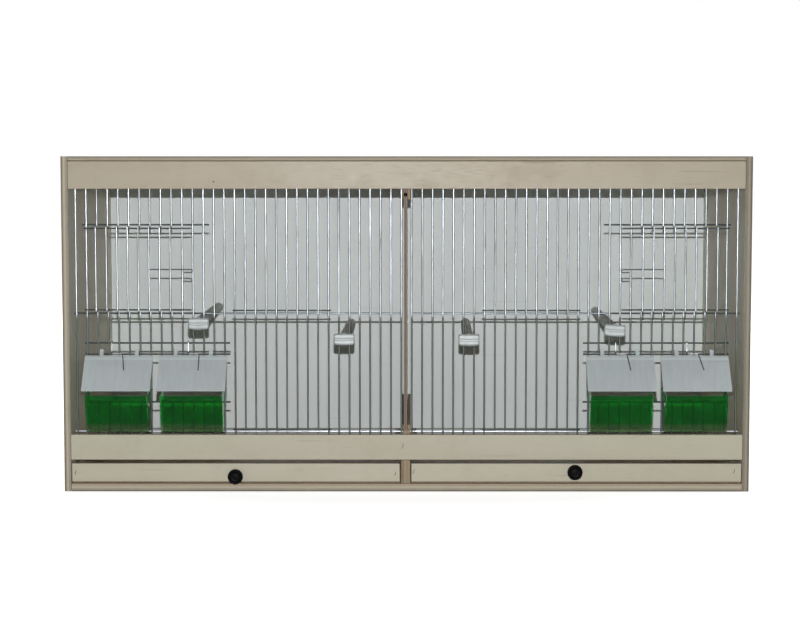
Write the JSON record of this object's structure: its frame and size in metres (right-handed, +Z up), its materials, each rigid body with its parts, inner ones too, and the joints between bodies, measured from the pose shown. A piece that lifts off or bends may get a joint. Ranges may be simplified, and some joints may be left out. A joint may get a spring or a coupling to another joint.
{
  "type": "double breeding cage",
  "caption": "Wooden breeding cage for small birds with a removable divider, wire front, sliding and hinged doors, hooded feeders, perches and pull-out trays.",
  "frame": {"origin": "centre of the base panel's underside", "axes": "+X to the right along the front, -Y out of the front, +Z up"},
  "size_m": [0.82, 0.4385, 0.4],
  "materials": {
    "birch_plywood": "clear satin varnish",
    "white_faced_board": "white semi-gloss face",
    "galvanised_wire": "bright zinc",
    "spring_wire": "bright drawn",
    "black_plastic": "glossy",
    "hood_plastic": "fine matt",
    "green_plastic": "tinted, see-through",
    "perch_plastic": "textured",
    "clip_plastic": "satin"
  },
  "bodies": {
    "cabinet": {"side_panel_left": "birch_plywood", "side_panel_right": "birch_plywood", "top_panel": "birch_plywood", "base_panel": "birch_plywood", "back_panel": "white_faced_board", "top_rail": "birch_plywood", "bottom_rail": "birch_plywood", "centre_post": "birch_plywood", "centre_header": "birch_plywood", "lower_guide_left": "birch_plywood", "lower_guide_right": "birch_plywood", "upper_guide_left": "birch_plywood", "upper_guide_right": "birch_plywood", "wire_front_left": "galvanised_wire", "wire_front_right": "galvanised_wire"},
    "drawer_left": {"drawer_front_left": "birch_plywood", "drawer_bottom_left": "white_faced_board", "drawer_outer_wall_left": "birch_plywood", "drawer_inner_wall_left": "birch_plywood", "drawer_back_wall_left": "birch_plywood", "drawer_knob_left": "black_plastic"},
    "drawer_right": {"drawer_front_right": "birch_plywood", "drawer_bottom_right": "white_faced_board", "drawer_outer_wall_right": "birch_plywood", "drawer_inner_wall_right": "birch_plywood", "drawer_back_wall_right": "birch_plywood", "drawer_knob_right": "black_plastic"},
    "divider_board": {"divider": "birch_plywood", "divider_pull": "black_plastic"},
    "main_door_left": {"main_door_left": "galvanised_wire"},
    "main_door_right": {"main_door_right": "galvanised_wire"},
    "nest_door_left": {"nest_door_left": "galvanised_wire", "nest_door_catch_left": "spring_wire"},
    "nest_door_right": {"nest_door_right": "galvanised_wire", "nest_door_catch_right": "spring_wire"},
    "hood_1": {"feeder_hood_1": "hood_plastic"},
    "retainer_1": {"hood_retainer_1": "spring_wire"},
    "dish_1": {"feeder_dish_1": "green_plastic"},
    "perch_1": {"perch_rod_1": "perch_plastic", "perch_clip_1": "clip_plastic"},
    "hood_2": {"feeder_hood_2": "hood_plastic"},
    "retainer_2": {"hood_retainer_2": "spring_wire"},
    "dish_2": {"feeder_dish_2": "green_plastic"},
    "perch_2": {"perch_rod_2": "perch_plastic", "perch_clip_2": "clip_plastic"},
    "hood_3": {"feeder_hood_3": "hood_plastic"},
    "retainer_3": {"hood_retainer_3": "spring_wire"},
    "dish_3": {"feeder_dish_3": "green_plastic"},
    "perch_3": {"perch_rod_3": "perch_plastic", "perch_clip_3": "clip_plastic"},
    "hood_4": {"feeder_hood_4": "hood_plastic"},
    "retainer_4": {"hood_retainer_4": "spring_wire"},
    "dish_4": {"feeder_dish_4": "green_plastic"},
    "perch_4": {"perch_rod_4": "perch_plastic", "perch_clip_4": "clip_plastic"}
  },
  "joints": [
    {"name": "drawer_slide_left", "type": "slide", "parent": "cabinet", "child": "drawer_left", "axis": [0, -1, 0], "range_m": [0, 0.36]},
    {"name": "drawer_slide_right", "type": "slide", "parent": "cabinet", "child": "drawer_right", "axis": [0, -1, 0], "range_m": [0, 0.36]},
    {"name": "divider_slide", "type": "slide", "parent": "cabinet", "child": "divider_board", "axis": [0, -1, 0], "range_m": [0, 0.38]},
    {"name": "main_door_slide_left", "type": "slide", "parent": "cabinet", "child": "main_door_left", "axis": [0, 0, 1], "range_m": [0, 0.135]},
    {"name": "main_door_slide_right", "type": "slide", "parent": "cabinet", "child": "main_door_right", "axis": [0, 0, 1], "range_m": [0, 0.135]},
    {"name": "nest_door_hinge_left", "type": "hinge", "parent": "cabinet", "child": "nest_door_left", "pos_m": [-0.38109, -0.194, 0.216], "axis": [0, 0, -1], "range_deg": [0, 110]},
    {"name": "nest_door_hinge_right", "type": "hinge", "parent": "cabinet", "child": "nest_door_right", "pos_m": [0.38109, -0.194, 0.216], "axis": [0, 0, 1], "range_deg": [0, 110]},
    {"name": "hood_hinge_1", "type": "hinge", "parent": "cabinet", "child": "hood_1", "pos_m": [-0.34311, -0.19252, 0.1645], "axis": [-1, 0, 0], "range_deg": [0, 75]},
    {"name": "retainer_hinge_1", "type": "hinge", "parent": "cabinet", "child": "retainer_1", "pos_m": [-0.34311, -0.19252, 0.178], "axis": [-1, 0, 0], "range_deg": [0, 80]},
    {"name": "dish_lift_1", "type": "slide", "parent": "cabinet", "child": "dish_1", "axis": [0, 0, 1], "range_m": [0, 0.007]},
    {"name": "hood_hinge_2", "type": "hinge", "parent": "cabinet", "child": "hood_2", "pos_m": [-0.25449, -0.19252, 0.1645], "axis": [-1, 0, 0], "range_deg": [0, 75]},
    {"name": "retainer_hinge_2", "type": "hinge", "parent": "cabinet", "child": "retainer_2", "pos_m": [-0.25449, -0.19252, 0.178], "axis": [-1, 0, 0], "range_deg": [0, 80]},
    {"name": "dish_lift_2", "type": "slide", "parent": "cabinet", "child": "dish_2", "axis": [0, 0, 1], "range_m": [0, 0.007]},
    {"name": "hood_hinge_3", "type": "hinge", "parent": "cabinet", "child": "hood_3", "pos_m": [0.25449, -0.19252, 0.1645], "axis": [-1, 0, 0], "range_deg": [0, 75]},
    {"name": "retainer_hinge_3", "type": "hinge", "parent": "cabinet", "child": "retainer_3", "pos_m": [0.25449, -0.19252, 0.178], "axis": [-1, 0, 0], "range_deg": [0, 80]},
    {"name": "dish_lift_3", "type": "slide", "parent": "cabinet", "child": "dish_3", "axis": [0, 0, 1], "range_m": [0, 0.007]},
    {"name": "hood_hinge_4", "type": "hinge", "parent": "cabinet", "child": "hood_4", "pos_m": [0.34311, -0.19252, 0.1645], "axis": [-1, 0, 0], "range_deg": [0, 75]},
    {"name": "retainer_hinge_4", "type": "hinge", "parent": "cabinet", "child": "retainer_4", "pos_m": [0.34311, -0.19252, 0.178], "axis": [-1, 0, 0], "range_deg": [0, 80]},
    {"name": "dish_lift_4", "type": "slide", "parent": "cabinet", "child": "dish_4", "axis": [0, 0, 1], "range_m": [0, 0.007]},
    {"name": "perch_turn_1", "type": "hinge", "parent": "cabinet", "child": "perch_1", "pos_m": [-0.24816, -0.194, 0.2017], "axis": [-0.02, 0.9998, -0.0085], "range_deg": [0, 90]},
    {"name": "perch_turn_2", "type": "hinge", "parent": "cabinet", "child": "perch_2", "pos_m": [-0.07441, -0.194, 0.183], "axis": [-0.0038, 0.9999, -0.0164], "range_deg": [0, 90]},
    {"name": "perch_turn_3", "type": "hinge", "parent": "cabinet", "child": "perch_3", "pos_m": [0.07441, -0.194, 0.1823], "axis": [0.0118, 0.9999, -0.0118], "range_deg": [0, 90]},
    {"name": "perch_turn_4", "type": "hinge", "parent": "cabinet", "child": "perch_4", "pos_m": [0.24816, -0.194, 0.1938], "axis": [0.0187, 0.9998, -0.0026], "range_deg": [0, 90]}
  ],
  "couplings": [
    {"joint": "retainer_hinge_1", "follows": "hood_hinge_1", "ratio": 1},
    {"joint": "retainer_hinge_2", "follows": "hood_hinge_2", "ratio": 1},
    {"joint": "retainer_hinge_3", "follows": "hood_hinge_3", "ratio": 1},
    {"joint": "retainer_hinge_4", "follows": "hood_hinge_4", "ratio": 1}
  ]
}
